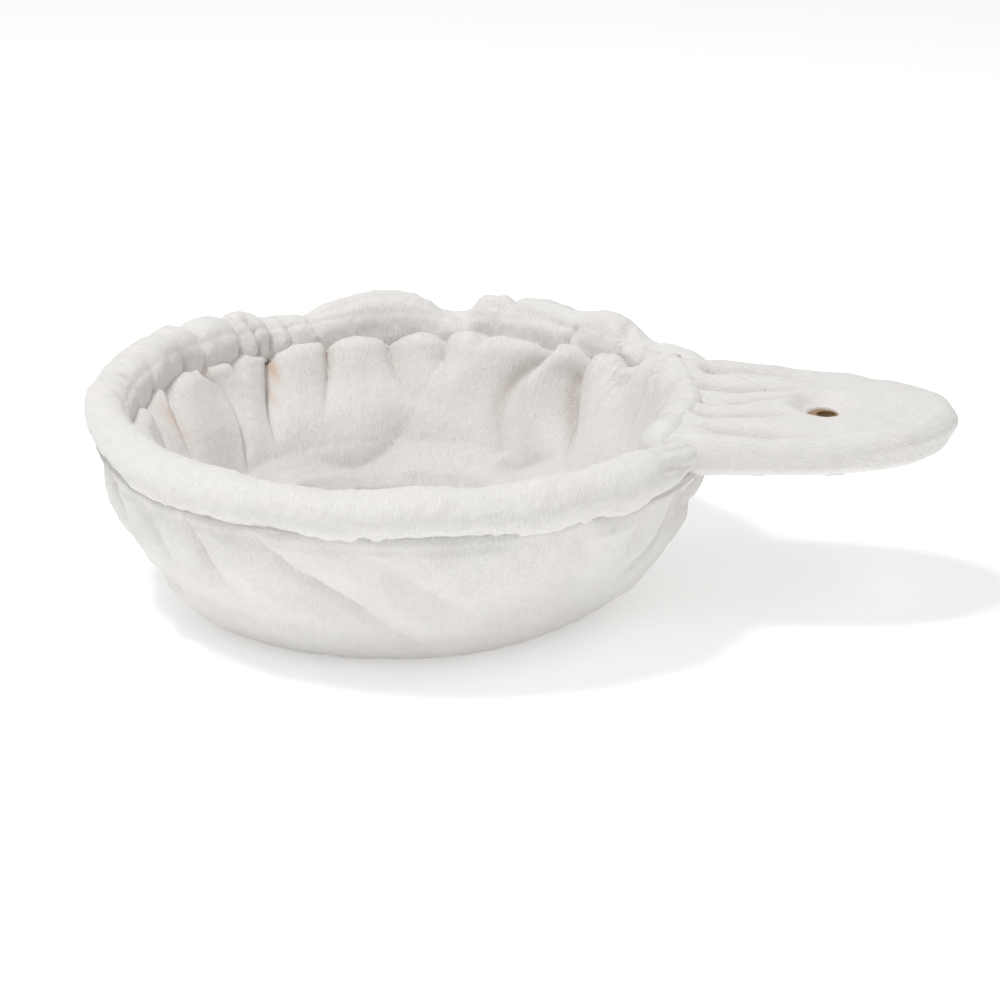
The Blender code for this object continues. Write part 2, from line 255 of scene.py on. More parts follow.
def normals(grid, facing):
    """Directions square to a grid that closes in its first direction, on the side of facing."""
    du = np.roll(grid, -1, 0) - np.roll(grid, 1, 0)
    n = np.cross(du, np.gradient(grid, axis=1))
    n /= np.linalg.norm(n, axis=-1, keepdims=True) + 1e-12
    return n * (1 if np.sum(n * facing) > 0 else -1)


def cloth_object(name, grid, facing, uv, shades, around=True, wrap=False, caps=False):
    """A grid of points as a mesh: around closes its first direction and wrap its second.

    facing says which way is out, shades holds each point's painted shade in the creases and painted
    warm light through the cloth, and caps closes the two ends. Where the grid closes on itself, the
    texture runs on past the join instead of turning back.
    """
    count_u, count_v = grid.shape[:2]
    i = np.arange(count_u if around else count_u - 1)
    j = np.arange(count_v if wrap else count_v - 1)
    i, j = np.meshgrid(i, j, indexing="ij")
    i1, j1 = (i + 1) % count_u, (j + 1) % count_v
    quads = np.stack([i * count_v + j, i1 * count_v + j, i1 * count_v + j1, i * count_v + j1], -1)
    quads = quads.reshape(-1, 4)
    flat = grid.reshape(-1, 3)
    across = np.cross(flat[quads[:, 2]] - flat[quads[:, 0]], flat[quads[:, 3]] - flat[quads[:, 1]])
    turned = np.sum(across * facing.reshape(-1, 3)[quads[:, 0]]) < 0
    step_u = (uv[-1, 0] - uv[-2, 0] + uv[-1, 0] - uv[0, 0]) * (i1 == 0)[..., None]
    step_v = (uv[0, -1] - uv[0, -2] + uv[0, -1] - uv[0, 0]) * (j1 == 0)[..., None]
    lap = np.stack([0 * step_u, step_u, step_u + step_v, step_v], -2).reshape(-1, 4, 2)
    corners = uv.reshape(-1, 2)[quads] + lap
    if turned:
        quads, corners = quads[:, ::-1], corners[:, ::-1]
    faces = quads.tolist()
    if caps:
        first = list(range(count_v))
        last = [(count_u - 1) * count_v + k for k in first]
        faces += [first, last[::-1]] if turned else [first[::-1], last]
    mesh = bpy.data.meshes.new(name)
    mesh.from_pydata(flat.tolist(), [], faces)
    layer = mesh.uv_layers.new(name="cloth")
    loops = np.empty(len(mesh.loops), np.int32)
    mesh.loops.foreach_get("vertex_index", loops)
    places = uv.reshape(-1, 2)[loops]
    places[: len(quads) * 4] = corners.reshape(-1, 2)
    layer.data.foreach_set("uv", places.astype(np.float32).ravel())
    # the painted shade and painted warm light go onto the mesh as point attributes
    for key, values in zip(("crease_shade", "warm"), shades):
        layer = mesh.attributes.new(key, "FLOAT", "POINT")
        layer.data.foreach_set("value", np.clip(values, 0, 1).astype(np.float32).ravel())
    mesh.shade_smooth()
    return add_object(name, mesh)


def thicken(piece):
    solid = piece.modifiers.new("Solidify", "SOLIDIFY")
    solid.thickness = CLOTH
    solid.offset = -1


def round_angles(columns):
    return np.arange(columns) * 360 / columns


def radial(theta):
    t = np.radians(theta)
    return np.stack([np.cos(t), np.sin(t), 0 * t], -1)


def run_length(r, z):
    """The distance along a profile from its first point to each of its points."""
    return np.concatenate([[0], np.cumsum(np.hypot(np.diff(r), np.diff(z)))])


def spread_profile(columns, r, z, down):
    """A profile's values at each angle round the hoop: angle, radius, height, distance down."""
    t, _ = np.meshgrid(round_angles(columns), r, indexing="ij")
    return (t, *(np.broadcast_to(a, t.shape) for a in (r, z, down)))


# Materials

PLUSH = (0.83, 0.812, 0.786)
BACKING = (0.74, 0.725, 0.70)
ROSY_PATCH = (0.83, 0.785, 0.755, 1)
GREY_PATCH = (0.79, 0.795, 0.795, 1)
# Painted shade for creases and hollows, and painted warm light that comes through the cloth
CREASE_SHADE = (0.60, 0.545, 0.51, 1)
WARM_LIGHT = (0.66, 0.42, 0.26, 1)


def shade(colour, by=1):
    return (*[min(1, c * by) for c in colour], 1)


class Nodes:
    """Short calls that add and link a material's nodes."""

    def __init__(self, name):
        self.material = bpy.data.materials.new(name)
        self.material.use_nodes = True
        self.tree = self.material.node_tree
        self.shader = self.tree.nodes["Principled BSDF"]

    def add(self, kind, inputs=(), **settings):
        node = self.tree.nodes.new(kind)
        for key, value in settings.items():
            setattr(node, key, value)
        for key, value in dict(inputs).items():
            self.give(node.inputs[key], value)
        return node

    def give(self, socket, value):
        if isinstance(value, bpy.types.NodeSocket):
            self.tree.links.new(value, socket)
        else:
            socket.default_value = value

    def mix(self, factor, first, second):
        node = self.add("ShaderNodeMix", data_type="RGBA")
        colours = [s for s in node.inputs if s.type == "RGBA"]
        self.give(node.inputs["Factor"], factor)
        self.give(colours[0], first)
        self.give(colours[1], second)
        return next(s for s in node.outputs if s.type == "RGBA")

    def tint(self, base, mask, share, colour):
        """The colour over the base, as strong as share where the mask is full."""
        return self.mix(self.math("MULTIPLY", mask, share), base, colour)

    def math(self, operation, a, b=0.0, c=0.0):
        node = self.add("ShaderNodeMath", operation=operation)
        for socket, value in zip(node.inputs, (a, b, c)):
            self.give(socket, value)
        return node.outputs[0]

    def noise(self, place, scale, detail=3.0, rough=0.55, distort=0.0):
        node = self.add(
            "ShaderNodeTexNoise",
            {"Vector": place, "Scale": scale, "Detail": detail, "Roughness": rough,
             "Distortion": distort},
        )
        return node.outputs["Fac"]

    def ramp(self, factor, low, high):
        node = self.add("ShaderNodeMapRange", {"Value": factor, "From Min": low, "From Max": high})
        return node.outputs["Result"]


def plush(name, colour, nap, streak):
    """Short warm-white pile: soft clumps and streaks along the nap, with painted shade in the
    creases and hollows and painted warm light that comes through the cloth.
    """
    n = Nodes(name)
    uv = n.add("ShaderNodeUVMap", uv_map="cloth").outputs["UV"]
    lie = n.add("ShaderNodeMapping", {"Vector": uv, "Scale": (*nap, 1)}).outputs[0]
    hairs = n.noise(lie, 1.0, 3.0, 0.6, 0.4)
    clumps = n.noise(uv, 150.0, 3.0, 0.6, 0.6)
    patches = n.noise(uv, 22.0, 2.0, 0.5, 0.3)
    drifts = n.noise(uv, 9.0, 1.0, 0.5, 0.3)
    crease_shade = n.add("ShaderNodeAttribute", attribute_name="crease_shade").outputs["Fac"]
    warm = n.add("ShaderNodeAttribute", attribute_name="warm").outputs["Fac"]
    base = n.mix(n.ramp(clumps, 0.3, 0.75), shade(colour, 0.955), shade(colour))
    base = n.tint(base, n.ramp(hairs, 0.35, 0.75), streak, shade(colour, 1.06))
    base = n.tint(base, n.ramp(patches, 0.5, 0.8), 0.3, ROSY_PATCH)
    base = n.tint(base, n.ramp(drifts, 0.5, 0.75), 0.3, GREY_PATCH)
    # painted shade in creases and hollows, then painted warm light through thin cloth
    base = n.tint(base, crease_shade, 0.55, CREASE_SHADE)
    base = n.tint(base, warm, 0.8, WARM_LIGHT)
    n.give(n.shader.inputs["Base Color"], base)
    n.give(n.shader.inputs["Roughness"], n.math("MULTIPLY_ADD", clumps, 0.1, 0.85))
    n.shader.inputs["Sheen Weight"].default_value = 0.12
    n.shader.inputs["Sheen Roughness"].default_value = 0.55
    n.shader.inputs["Specular IOR Level"].default_value = 0.1
    fine = n.add("ShaderNodeBump", {"Strength": 0.8, "Distance": 0.0011, "Height": hairs})
    coarse = n.add(
        "ShaderNodeBump",
        {"Strength": 0.3, "Distance": 0.0014, "Height": clumps, "Normal": fine.outputs[0]},
    )
    n.give(n.shader.inputs["Normal"], coarse.outputs[0])
    return n.material


# The bowl

# Each fold of the lining runs down from the seam: ((degrees round the hoop, metres down), ...),
# depth, reach, softness, lean, start, end.
LINING_FOLDS = (
    (((9, 0), (8.5, 0.010), (9, 0.024), (9, 0.045)), 7, 12, 0.6, 0.7, 1.0, 0.1),
    (((25, 0), (22, 0.012), (20.5, 0.025), (19, 0.040)), 8, 14, 0.6, 0.8, 1.0, 0.1),
    (((33, 0), (36, 0.010), (38, 0.021), (37, 0.033)), 7, 12, 0.8, 0.6, 1.0, 0.1),
    (((43.5, 0.001), (41, 0.010), (40.5, 0.025)), 11, 10, 0.6, 0.6, 1.0, 0.0),
    (((46, 0.004), (47.5, 0.014), (45, 0.028)), -4, 7, 0, 0.0, 0.8, 0.2),
    (((33, 0.004), (31, 0.014), (29, 0.026)), -3, 6, 0, 0.0, 0.8, 0.2),
    (((47, 0.001), (51, 0.004), (52.5, 0.015), (50.5, 0.030), (46, 0.045), (40, 0.060)),
     13, 18, 0.5, -0.8, 1.0, 0.2),
    (((54, 0.012), (54, 0.026), (49.5, 0.044), (43, 0.064)), 15, 18, 3, 0.0, 0.5, 0.4),
    (((61, 0.006), (65, 0.014), (69.5, 0.025), (71.5, 0.037), (70.5, 0.052), (66, 0.072)),
     14, 24, 5, 0.0, 0.4, 0.5),
    (((57, 0.003), (60.5, 0.014), (62, 0.030), (59.5, 0.048), (54, 0.066)),
     -8, 8, 0, 0.0, 0.7, 0.3),
    (((79, 0.001), (80.5, 0.007), (83, 0.014)), 5, 10, 1.5, 0.3, 1.0, 0.0),
    (((89.5, 0.001), (89, 0.012), (89.5, 0.023), (92, 0.036)), 9, 16, 1.5, -0.6, 1.0, 0.1),
    (((84, 0.004), (83, 0.030), (87, 0.055)), -3, 10, 0, 0.0, 0.6, 0.0),
    (((103.5, 0.001), (103, 0.008), (100.5, 0.030), (96, 0.043)), 10, 20, 4, 0.3, 0.8, 0.4),
    (((117, 0), (117, 0.006), (118, 0.030), (122, 0.052)), 11, 20, 0.8, 0.2, 1.0, 0.1),
    (((130, 0.001), (132, 0.011), (134, 0.027), (138, 0.050), (141, 0.070)),
     12, 20, 0.9, 0.3, 1, 0.05),
    (((158, 0.001), (152, 0.012), (148.5, 0.025), (150, 0.048), (155, 0.074)),
     10, 20, 0.6, 0.9, 1, 0.3),
    (((144, 0), (142.5, 0.009), (140, 0.022)), 5, 9, 0.8, 0.4, 1.0, 0.0),
    (((165, 0), (168.5, 0.008), (172, 0.017), (176, 0.036), (179, 0.055)),
     11, 20, 0.6, 0.9, 1.0, 0.2),
    (((177, 0), (183, 0.020), (189, 0.045)), 8, 18, 1.0, 0.6, 1.0, 0.0),
    (((192, 0), (196, 0.030), (203, 0.065)), 9, 20, 1.0, 0.6, 1.0, 0.1),
    (((209, 0), (211, 0.030), (216, 0.060)), 7, 18, 2.0, -0.3, 0.9, 0.1),
    (((227, 0), (228, 0.030), (226, 0.070)), 9, 22, 1.0, 0.4, 0.9, 0.1),
    (((246, 0), (243, 0.030), (241, 0.060)), 7, 20, 3.0, 0.0, 0.9, 0.0),
    (((262, 0), (262, 0.030), (265, 0.075)), 9, 22, 1.0, -0.5, 0.9, 0.2),
    (((279, 0), (281, 0.025), (279, 0.055)), 6, 20, 3.0, 0.0, 0.9, 0.0),
    (((297, 0), (299, 0.030), (303, 0.070)), 9, 22, 1.0, 0.5, 0.9, 0.1),
    (((314, 0), (315, 0.030), (318, 0.055)), 7, 18, 2.0, 0.0, 0.9, 0.0),
    (((331, 0), (333, 0.030), (336, 0.070)), 9, 18, 0.8, -0.5, 0.9, 0.1),
    (((345, 0), (346, 0.030), (348, 0.050)), 8, 14, 0.8, -0.6, 1.0, 0.0),
    (((357, 0), (357, 0.025), (356, 0.050)), 7, 12, 0.6, -0.6, 1.0, 0.1),
    # where the wall's lobes turn in to the floor
    (((94, 0.050), (98, 0.064), (103, 0.076), (111, 0.085), (120, 0.085), (129, 0.078),
      (140, 0.062)), 7, 26, 9, 0.0, 0.2, 0.2),
    (((66, 0.080), (58, 0.080), (49, 0.070), (40, 0.058)), 7, 24, 8, 0.0, 0.2, 0.2),
    # from 0 to 340 degrees this one runs the long way round, as a shallow hollow along the floor
    (((20, 0.062), (0, 0.070), (340, 0.072), (320, 0.078), (300, 0.076)),
     2.5, 22, 8, 0.0, 0.2, 0.2),
    (((280, 0.080), (250, 0.080), (225, 0.078), (200, 0.076), (180, 0.066)),
     2.5, 22, 8, 0.0, 0.2, 0.2),
)
# Light that comes through the cloth: degrees, metres down, mm across, mm down, strength
WARM_SPOTS = (
    (131, 0.015, 2.2, 9, 0.8),
    (133.5, 0.030, 2, 10, 0.35),
    (151, 0.007, 4, 4, 0.6),
    (174, 0.024, 6, 12, 0.6),
    (117.5, 0.012, 2, 9, 0.25),
)
# Over the tongue's root the lining rises to the top: (radius, height) from the hoop's circle, in mm
ROOT_PROFILE = (
    (-6, 5), (-10, 10.4), (-15, 12.4), (-20, 11.0), (-24, 6), (-26, -1), (-27, -9), (-28, -17)
)
ROOT_DEPTH = 0.040
# How far the lining stands in from its plain bowl between its folds
LOBE = 7 * MM
# The rings of a round piece start at this share of its radius
HUB = 0.02


def lean_x(z):
    """The bowl hangs back from the hoop: the x of its middle at each height."""
    return BASE_X + (HOOP_X - BASE_X) * z / HOOP_Z


def ring_points(theta, radius, z):
    t = np.radians(theta)
    return np.stack([lean_x(z) + radius * np.cos(t), radius * np.sin(t), z], -1)


def lining_profile(rows):
    """(radius, height, distance down) from under the rim's seam to the floor."""
    z = FLOOR_Z - 2 * MM + (LINING_Z - FLOOR_Z + 2 * MM) * np.linspace(1, 0, rows) ** 1.3
    rise = np.clip((z - FLOOR_Z) / (LINING_Z - FLOOR_Z), 0, 1)
    r = FLOOR_R + (LINING_R - FLOOR_R) * rise**0.72
    start_r, start_z = HOOP_R - 0.72 * TUBE_R, HOOP_Z - 0.30 * TUBE_R
    r = np.concatenate([[start_r + 2 * MM, start_r], r, [r[-1] - 0.5 * MM, r[-1]]])
    z = np.concatenate([[start_z + 2 * MM, start_z], z, [z[-1] - 2 * MM, z[-1] - 6 * MM]])
    return r, z, run_length(r, z)


def make_lining(material):
    columns, rows = 600, 60
    t, rr, zz, ss = spread_profile(columns, *lining_profile(rows))
    turn = (t + 180) % 360 - 180
    # over the tongue's root the plain bowl gives way to the root's own profile
    rise = ease((40 - turn) / 16) * ease((turn + 36) / 14)
    root = path_points(ROOT_PROFILE, 6) * MM
    reach = np.linspace(0, 1, len(root))
    at = np.clip(ss / ROOT_DEPTH, 0, 1)
    root_r = HOOP_R + np.interp(at, reach, root[:, 0])
    root_z = HOOP_Z + np.interp(at, reach, root[:, 1])
    rise = rise * ease((ROOT_DEPTH - ss) / (14 * MM))
    rr, zz = rr + (root_r - rr) * rise, zz + (root_z - zz) * rise
    grid = ring_points(t, rr, zz)
    scale = np.radians(1) * rr
    height, slide, crease_shade = fold_field(t, ss, scale, LINING_FOLDS)
    # painted warm light that comes through the cloth at the listed spots
    warm = spots(t, ss, scale, WARM_SPOTS)
    shoulder = np.sqrt(1 - (1 - np.clip(ss / (12 * MM), 0, 1)) ** 2)
    foot = ease((ss[:, -1:] - ss) / (16 * MM))
    soft = 1.5 * MM * ripple(grid, 38 * MM, SEED) + 0.3 * MM * ripple(grid, 17 * MM, SEED + 1)
    pucker = 0.45 * MM * ripple(grid * (1, 1, 0.2), 9 * MM, SEED + 2) * np.exp(-ss / (14 * MM))
    lift = LOBE * shoulder * (1 - 0.45 * rise) + height * (0.3 + 0.7 * shoulder)
    lift = (lift + soft * shoulder + pucker) * foot
    gather = np.exp((ss - ss[:, -1:]) / (14 * MM)) * ease((ss[:, -1:] - ss) / (6 * MM))
    lift += 1.4 * MM * gather * ripple(grid * (1, 1, 0.2), 11 * MM, SEED + 4)
    lift += 0.08 * MM * ripple(grid, 4 * MM, SEED + 3, 40)
    inward = -radial(t)
    along = radial(t + 90) * (slide * ease(ss / (6 * MM)) * foot)[..., None]
    grid = grid + normals(grid, inward) * lift[..., None] + along
    # painted shade where the cloth sinks in below its plain bowl, joined with the painted shade of
    # the creases
    hollow = 0.3 * ease(-lift / (7 * MM))
    uv = np.stack([np.radians(t) * HOOP_R, ss], -1)
    piece = cloth_object("lining_cloth", grid, inward, uv, (np.maximum(crease_shade, hollow), warm))
    piece.data.materials.append(material)
    thicken(piece)
    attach(piece, "root")
    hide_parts("lining_wall", "wall_wadding")
    return piece


def make_bowl_floor(material):
    rings, columns = 40, 180
    radius = FLOOR_R + 4 * MM
    t, q = np.meshgrid(round_angles(columns), np.linspace(HUB, 1, rings), indexing="ij")
    seam = np.exp(-(1 - q) * radius / (7 * MM))
    round_seam = np.stack([np.radians(t) * radius, 0 * t, 0 * t], -1)
    top = FLOOR_Z - 3.5 * MM * q**7 + 0.7 * MM * seam * ripple(round_seam, 9 * MM, SEED + 9)
    grid = ring_points(t, radius * q, np.full(t.shape, FLOOR_Z))
    grid[..., 2] = top + 1.0 * MM * ripple(grid, 40 * MM, SEED + 7) * (1 - q**4)
    grid[..., 2] += 0.16 * MM * ripple(grid, 4 * MM, SEED + 8, 40)
    uv = grid[..., :2].copy()
    piece = cloth_object("bowl_floor_cloth", grid, 0 * grid + (0, 0, 1), uv, (0 * q, 0 * q))
    fill_centre(piece, columns, rings)
    piece.data.materials.append(material)
    thicken(piece)
    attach(piece, "root")
    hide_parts("lining_base", "base_pad")
    return piece


def fill_centre(piece, columns, rings, up=1):
    """Closes the small hole that a round grid leaves in its middle; up is which way it faces."""
    work = bmesh.new()
    work.from_mesh(piece.data)
    work.verts.ensure_lookup_table()
    loop = [work.verts[i * rings] for i in range(columns)]
    work.faces.new(loop)
    bmesh.ops.recalc_face_normals(work, faces=work.faces)
    if sum(f.normal.z for f in work.faces) * up < 0:
        bmesh.ops.reverse_faces(work, faces=work.faces)
    work.to_mesh(piece.data)
    work.free()


OUTER_FOLDS = (
    # ((degrees round the hoop, metres down from the rim), ...), and the rest as for the lining
    (((235, -0.002), (236.5, 0.008), (239, 0.022), (244, 0.040)), 12, 24, 3, 0.5, 0.9, 0.1),
    (((250, -0.002), (253, 0.008), (257, 0.019), (263, 0.032), (271, 0.047), (280, 0.068)),
     10, 26, 3.5, 0.4, 0.9, 0.4),
    (((222, 0.001), (225, 0.016), (229, 0.034)), 5, 20, 5, 0.0, 0.7, 0.1),
    (((270, 0.002), (276, 0.017), (285, 0.036), (294, 0.052)), 4, 24, 6, 0.0, 0.5, 0.1),
    (((205, 0.001), (212, 0.020), (219, 0.050)), 5, 22, 4, 0.3, 0.8, 0.1),
    (((188, 0.001), (194, 0.025), (203, 0.080)), 5, 20, 3, 0.2, 0.7, 0.2),
    (((307, 0.001), (309, 0.015), (312, 0.030)), 2.5, 16, 4, 0.0, 0.7, 0.0),
    (((323, 0.001), (322, 0.018), (319, 0.034)), 4, 16, 4, 0.0, 0.9, 0.1),
    (((337, 0.001), (334, 0.018), (329, 0.034), (323, 0.050)), 9, 18, 2, 0.4, 0.9, 0.1),
    (((349, 0.001), (347, 0.020), (343, 0.045)), 7, 18, 3, 0.0, 0.9, 0.1),
    # from 1 to 356 degrees this path runs the long way round, so it also rings the wall's back
    (((0, 0.001), (1, 0.030), (356, 0.076)), 6, 22, 3, 0.0, 0.8, 0.1),
    (((18, 0.001), (20, 0.030), (24, 0.088)), 6, 20, 2, 0.2, 0.8, 0.3),
    (((34, 0.001), (36, 0.020), (40, 0.040)), 4, 16, 3, 0.0, 0.9, 0.0),
    (((48, 0.001), (52, 0.030), (59, 0.094)), 6, 24, 3, 0.3, 0.9, 0.3),
    (((66, 0.001), (70, 0.025), (74, 0.040)), 5, 20, 3, 0.2, 0.9, 0.1),
    (((87, 0.001), (92, 0.030), (100, 0.090)), 7, 24, 2, -0.2, 0.9, 0.35),
    (((105, 0.001), (108, 0.020), (116, 0.062)), 4, 20, 4, 0.2, 0.9, 0.1),
    (((123, 0.001), (128, 0.030), (138, 0.094)), 7, 22, 2, 0.3, 0.9, 0.3),
    (((137, 0.001), (141, 0.018), (146, 0.040)), 5, 18, 2, 0.2, 0.9, 0.1),
    (((153, 0.001), (158, 0.030), (169, 0.088)), 6, 22, 3, 0.3, 0.9, 0.35),
    (((171, 0.001), (176, 0.025), (184, 0.055)), 5, 20, 3, 0.2, 0.9, 0.1),
)


def outer_profile(rows):
    """(radius, height, distance down) from inside the rim's tube to the base.

    The distance counts from where the wall comes out under the rim.
    """
    z = WALL_Z * np.linspace(1, 0, rows) ** 1.9
    rise = z / HOOP_Z
    r = BASE_R + (WALL_R - BASE_R) * (z / WALL_Z) ** 0.6 * (1 + 0.4 * rise * (1 - rise))
    tuck_r = HOOP_R + TUBE_R * np.array([0.25, 0.55, 0.76])
    tuck_z = HOOP_Z - TUBE_R * np.array([0.45, 0.55, 0.68])
    shown = z < HOOP_Z - TUBE_R * 0.96
    r = np.concatenate([tuck_r, r[shown]])
    z = np.concatenate([tuck_z, z[shown]])
    down = run_length(r, z)
    return r, z, down - down[len(tuck_r)]


def make_outer_wall(material):
    columns, rows = 600, 56
    t, rr, zz, ss = spread_profile(columns, *outer_profile(rows))
    turn = (t + 180) % 360 - 180
    # the wall is drawn in under the rim at the left, and under the tongue
    past_rim = np.maximum(ss, 0)
    left = 5 * MM * np.exp(-(((t - 200) / 24) ** 2) - (past_rim / (14 * MM)) ** 2)
    under_tongue = 10 * MM * np.exp(-(((turn + 2) / 26) ** 2) - (past_rim / (20 * MM)) ** 2)
    rr = rr - left - under_tongue
    grid = ring_points(t, rr, zz)
    height, slide, crease_shade = fold_field(t, ss, np.radians(1) * rr, OUTER_FOLDS)
    foot = ease((ss[:, -1:] - ss) / (48 * MM))
    soft = 1.3 * MM * ripple(grid, 45 * MM, SEED + 11) + 0.5 * MM * ripple(grid, 14 * MM, SEED + 12)
    pucker = 0.8 * MM * ripple(grid * (1, 1, 0.15), 9 * MM, SEED + 14)
    pucker = pucker * np.exp(-np.abs(ss) / (14 * MM))
    # lower down at the left it is hollow
    dent = 7 * MM * ease((ss - 20 * MM) / (30 * MM)) * np.exp(-(((t - 201) / 22) ** 2))
    lift = (2.5 * MM + height + soft + pucker - dent) * ease((ss + 5 * MM) / (9 * MM))
    lift = lift * (0.15 + 0.85 * foot)
    lift += 0.16 * MM * ripple(grid, 4 * MM, SEED + 13, 40)
    outward = radial(t)
    along = radial(t + 90) * (slide * foot * ease((ss + 2 * MM) / (10 * MM)))[..., None]
    grid = grid + normals(grid, outward) * lift[..., None] + along
    grid[..., 2] = np.maximum(grid[..., 2], 0.0)
    uv = np.stack([np.radians(t) * HOOP_R, ss], -1)
    # the painted shade of the creases at half strength, and no painted warm light
    piece = cloth_object("wall_cloth", grid, outward, uv, (0.5 * crease_shade, 0 * crease_shade))
    piece.data.materials.append(material)
    thicken(piece)
    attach(piece, "root")
    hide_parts("wall_outer")
    return piece


# The rim

CREST = (
    # how far the rim's top stands above its plain round: (degrees round the hoop, mm)
    (18, 1.5), (26, 2), (32, 0.2), (38, -2), (43, -1.2), (48, 2), (54, 4), (60, 1.8), (66, 1.8),
    (72, 4.2), (77, 5.2), (81, 4.8), (83.5, 1.5), (85.5, -6), (88, -8.6), (91, -8), (94, -1),
    (98, 4.6), (103, 6.6), (108, 5.8), (113, 3.2), (116.5, -0.8), (119, -4), (123, -3.6), (127, -1),
    (131, 3), (136, 5.4), (139, 4.2), (144, 6), (149.5, 2.4), (153, 5.6), (158, 7), (164, 5.2),
    (170, 5), (177, 5), (184, 4.5), (192, 3), (204, 0), (216, -1.8), (232, -3),
    (250, -3.6), (275, -4), (295, -3), (310, -0.5), (325, 1), (334, 0), (345, -3),
)
RIM_FOLDS = (
    # ((degrees round the hoop, metres round the tube from its outside over the top), ...)
    (((88, 0.020), (87, 0.034), (86.5, 0.046)), 3, 9, 1, 0.0, 0.6, 0.7),
    (((120.5, 0.014), (120, 0.032), (119, 0.048)), 4, 9, 0.8, 0.3, 0.6, 0.8),
    (((126.5, 0.022), (125.4, 0.034), (125.6, 0.050)), 5, 7, 0.6, 0.3, 0.4, 0.9),
    (((131.5, 0.010), (129.5, 0.026), (130.3, 0.050)), 8, 9, 0.5, 0.3, 0.2, 1.0),
    (((136.5, 0.024), (134.2, 0.034), (133.6, 0.050)), 6, 6, 0.5, -0.5, 0.2, 1.0),
    (((140, 0.008), (138.2, 0.028), (138.8, 0.050)), 9, 10, 0.5, 0.3, 0.2, 1.0),
    (((150.5, 0.026), (149.5, 0.036), (150, 0.050)), 4, 6, 0.6, -0.3, 0.1, 0.9),
    (((161, 0.008), (158, 0.026), (156.5, 0.050)), 10, 13, 0.6, 0.5, 0.2, 1.0),
    (((171, 0.014), (170, 0.030), (172.5, 0.050)), 6, 10, 0.8, 0.2, 0.2, 0.9),
    (((181, 0.024), (180, 0.036), (182, 0.050)), 5, 9, 0.8, 0.0, 0.2, 0.8),
    (((192, 0.026), (193, 0.038), (195, 0.050)), 3, 8, 1.0, 0.0, 0.2, 0.6),
    (((49, 0.018), (47, 0.030), (46, 0.050)), 6, 10, 0.6, 0.6, 0.4, 0.9),
    (((58, 0.030), (60, 0.040), (61, 0.050)), 4, 8, 0.8, 0.0, 0.3, 0.8),
    (((41, 0.026), (40, 0.036), (38, 0.050)), 5, 8, 0.6, -0.3, 0.2, 0.9),
    (((76, 0.016), (75.5, 0.024), (75, 0.031)), 4, 7, 0.6, 0.0, 0.6, 0.1),
    (((340, 0.010), (334, 0.016), (328, 0.020), (320, 0.021)), 3, 9, 1.6, 0.3, 0.8, 0.1),
    (((338, 0.028), (330, 0.034), (322, 0.037)), 2.5, 8, 1.6, -0.3, 0.9, 0.1),
    (((334, -0.002), (327, 0.004), (320, 0.006)), 2.5, 9, 2, 0.0, 0.9, 0.1),
    # the puffs' lower edge, where the gathered cloth folds over
    (((119, 0.030), (112, 0.026), (104, 0.025), (96, 0.026), (90, 0.030)),
     2.5, 9, 0.9, 0.0, 0.2, 0.2),
    (((84, 0.028), (78, 0.029), (70, 0.031), (62, 0.034), (55, 0.037)), 2.5, 9, 0.7, 0.0, 0.3, 0.3),
)
# The casing's open ends, in degrees round the hoop: the tongue fills the gap between them
RIM_START, RIM_END = 18, 342
# Angles round the tube: its seam with the lining, and where the count starts again underneath
RIM_SEAM = math.radians(136)
RIM_UNDER = math.radians(250)
FRONT_RISE = 1 * MM


def crest_height(theta):
    points = path_points(CREST, 6)
    return np.interp(theta, points[:, 0], points[:, 1]) * MM


